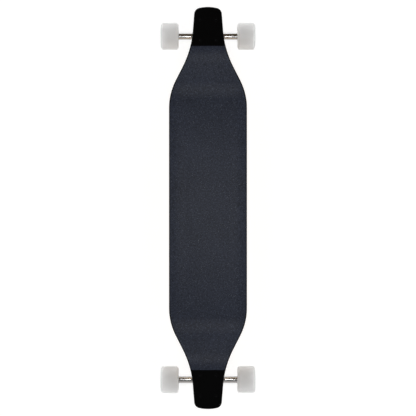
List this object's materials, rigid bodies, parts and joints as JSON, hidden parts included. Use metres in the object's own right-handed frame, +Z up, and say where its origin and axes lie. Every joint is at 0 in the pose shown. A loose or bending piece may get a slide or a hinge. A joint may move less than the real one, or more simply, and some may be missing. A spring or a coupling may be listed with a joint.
{
  "type": "longboard skateboard",
  "caption": "Drop-deck longboard skateboard: pressed wooden deck with a gripped middle, trucks that steer on bushings, and translucent wheels rolling on ball bearings.",
  "frame": {"origin": "on the floor under the middle of the board, at the bottom of the wheels", "axes": "+Y along the board to the nose, +X to the right of a rider who faces the nose, +Z up"},
  "size_m": [0.25, 1.0408, 0.1129],
  "materials": {
    "deck_lacquer": "black satin lacquer",
    "grip": "fine abrasive grit, dark blue-grey",
    "cast_metal": "polished casting",
    "steel": "zinc plated",
    "black_steel": "black oxide",
    "bushing_urethane": "smooth cast urethane",
    "cup_plastic": "moulded nylon",
    "wheel_urethane": "milky translucent cast urethane",
    "core_plastic": "moulded hub",
    "bearing_steel": "ground steel",
    "spacer_metal": "turned"
  },
  "bodies": {
    "board": {"deck": "deck_lacquer", "grip_tape": "grip", "front_baseplate": "cast_metal", "front_pivot_cup": "cup_plastic", "front_kingpin": "steel", "front_kingpin_nut": "steel", "front_boardside_bushing": "bushing_urethane", "front_roadside_bushing": "bushing_urethane", "front_boardside_washer": "steel", "front_roadside_washer": "steel", "front_mounting_bolts": "black_steel", "front_mounting_nuts": "black_steel", "rear_baseplate": "cast_metal", "rear_pivot_cup": "cup_plastic", "rear_kingpin": "steel", "rear_kingpin_nut": "steel", "rear_boardside_bushing": "bushing_urethane", "rear_roadside_bushing": "bushing_urethane", "rear_boardside_washer": "steel", "rear_roadside_washer": "steel", "rear_mounting_bolts": "black_steel", "rear_mounting_nuts": "black_steel"},
    "front_truck": {"front_hanger": "cast_metal", "front_axle": "steel", "front_axle_nuts": "steel", "front_speed_rings": "steel", "front_left_bearing_inner_rings": "bearing_steel", "front_left_bearing_spacer": "spacer_metal", "front_right_bearing_inner_rings": "bearing_steel", "front_right_bearing_spacer": "spacer_metal"},
    "rear_truck": {"rear_hanger": "cast_metal", "rear_axle": "steel", "rear_axle_nuts": "steel", "rear_speed_rings": "steel", "rear_left_bearing_inner_rings": "bearing_steel", "rear_left_bearing_spacer": "spacer_metal", "rear_right_bearing_inner_rings": "bearing_steel", "rear_right_bearing_spacer": "spacer_metal"},
    "front_left_wheel": {"front_left_tyre": "wheel_urethane", "front_left_core": "core_plastic", "front_left_bearing_outer_rings": "bearing_steel", "front_left_bearing_shields": "bearing_steel"},
    "front_left_balls": {"front_left_bearing_balls": "bearing_steel"},
    "front_right_wheel": {"front_right_tyre": "wheel_urethane", "front_right_core": "core_plastic", "front_right_bearing_outer_rings": "bearing_steel", "front_right_bearing_shields": "bearing_steel"},
    "front_right_balls": {"front_right_bearing_balls": "bearing_steel"},
    "rear_left_wheel": {"rear_left_tyre": "wheel_urethane", "rear_left_core": "core_plastic", "rear_left_bearing_outer_rings": "bearing_steel", "rear_left_bearing_shields": "bearing_steel"},
    "rear_left_balls": {"rear_left_bearing_balls": "bearing_steel"},
    "rear_right_wheel": {"rear_right_tyre": "wheel_urethane", "rear_right_core": "core_plastic", "rear_right_bearing_outer_rings": "bearing_steel", "rear_right_bearing_shields": "bearing_steel"},
    "rear_right_balls": {"rear_right_bearing_balls": "bearing_steel"}
  },
  "joints": [
    {"name": "front_steer", "type": "hinge", "parent": "board", "child": "front_truck", "pos_m": [0, 0.474, 0.066], "axis": [0, 0.7071, 0.7071], "range_deg": [-20, 20], "stiffness_Nm_per_rad": 60, "deforming": ["front_boardside_bushing", "front_roadside_bushing"]},
    {"name": "rear_steer", "type": "hinge", "parent": "board", "child": "rear_truck", "pos_m": [0, -0.474, 0.066], "axis": [0, -0.7071, 0.7071], "range_deg": [-20, 20], "stiffness_Nm_per_rad": 60, "deforming": ["rear_boardside_bushing", "rear_roadside_bushing"]},
    {"name": "front_left_roll", "type": "hinge", "parent": "front_truck", "child": "front_left_wheel", "pos_m": [-0.1015, 0.456, 0.035], "axis": [1, 0, 0], "continuous": true},
    {"name": "front_left_ball_roll", "type": "hinge", "parent": "front_truck", "child": "front_left_balls", "pos_m": [-0.1015, 0.456, 0.035], "axis": [1, 0, 0], "continuous": true},
    {"name": "front_right_roll", "type": "hinge", "parent": "front_truck", "child": "front_right_wheel", "pos_m": [0.1015, 0.456, 0.035], "axis": [1, 0, 0], "continuous": true},
    {"name": "front_right_ball_roll", "type": "hinge", "parent": "front_truck", "child": "front_right_balls", "pos_m": [0.1015, 0.456, 0.035], "axis": [1, 0, 0], "continuous": true},
    {"name": "rear_left_roll", "type": "hinge", "parent": "rear_truck", "child": "rear_left_wheel", "pos_m": [-0.1015, -0.456, 0.035], "axis": [1, 0, 0], "continuous": true},
    {"name": "rear_left_ball_roll", "type": "hinge", "parent": "rear_truck", "child": "rear_left_balls", "pos_m": [-0.1015, -0.456, 0.035], "axis": [1, 0, 0], "continuous": true},
    {"name": "rear_right_roll", "type": "hinge", "parent": "rear_truck", "child": "rear_right_wheel", "pos_m": [0.1015, -0.456, 0.035], "axis": [1, 0, 0], "continuous": true},
    {"name": "rear_right_ball_roll", "type": "hinge", "parent": "rear_truck", "child": "rear_right_balls", "pos_m": [0.1015, -0.456, 0.035], "axis": [1, 0, 0], "continuous": true}
  ],
  "couplings": [
    {"joint": "front_left_ball_roll", "follows": "front_left_roll", "ratio": 0.6323},
    {"joint": "front_right_ball_roll", "follows": "front_right_roll", "ratio": 0.6323},
    {"joint": "rear_left_ball_roll", "follows": "rear_left_roll", "ratio": 0.6323},
    {"joint": "rear_right_ball_roll", "follows": "rear_right_roll", "ratio": 0.6323}
  ]
}
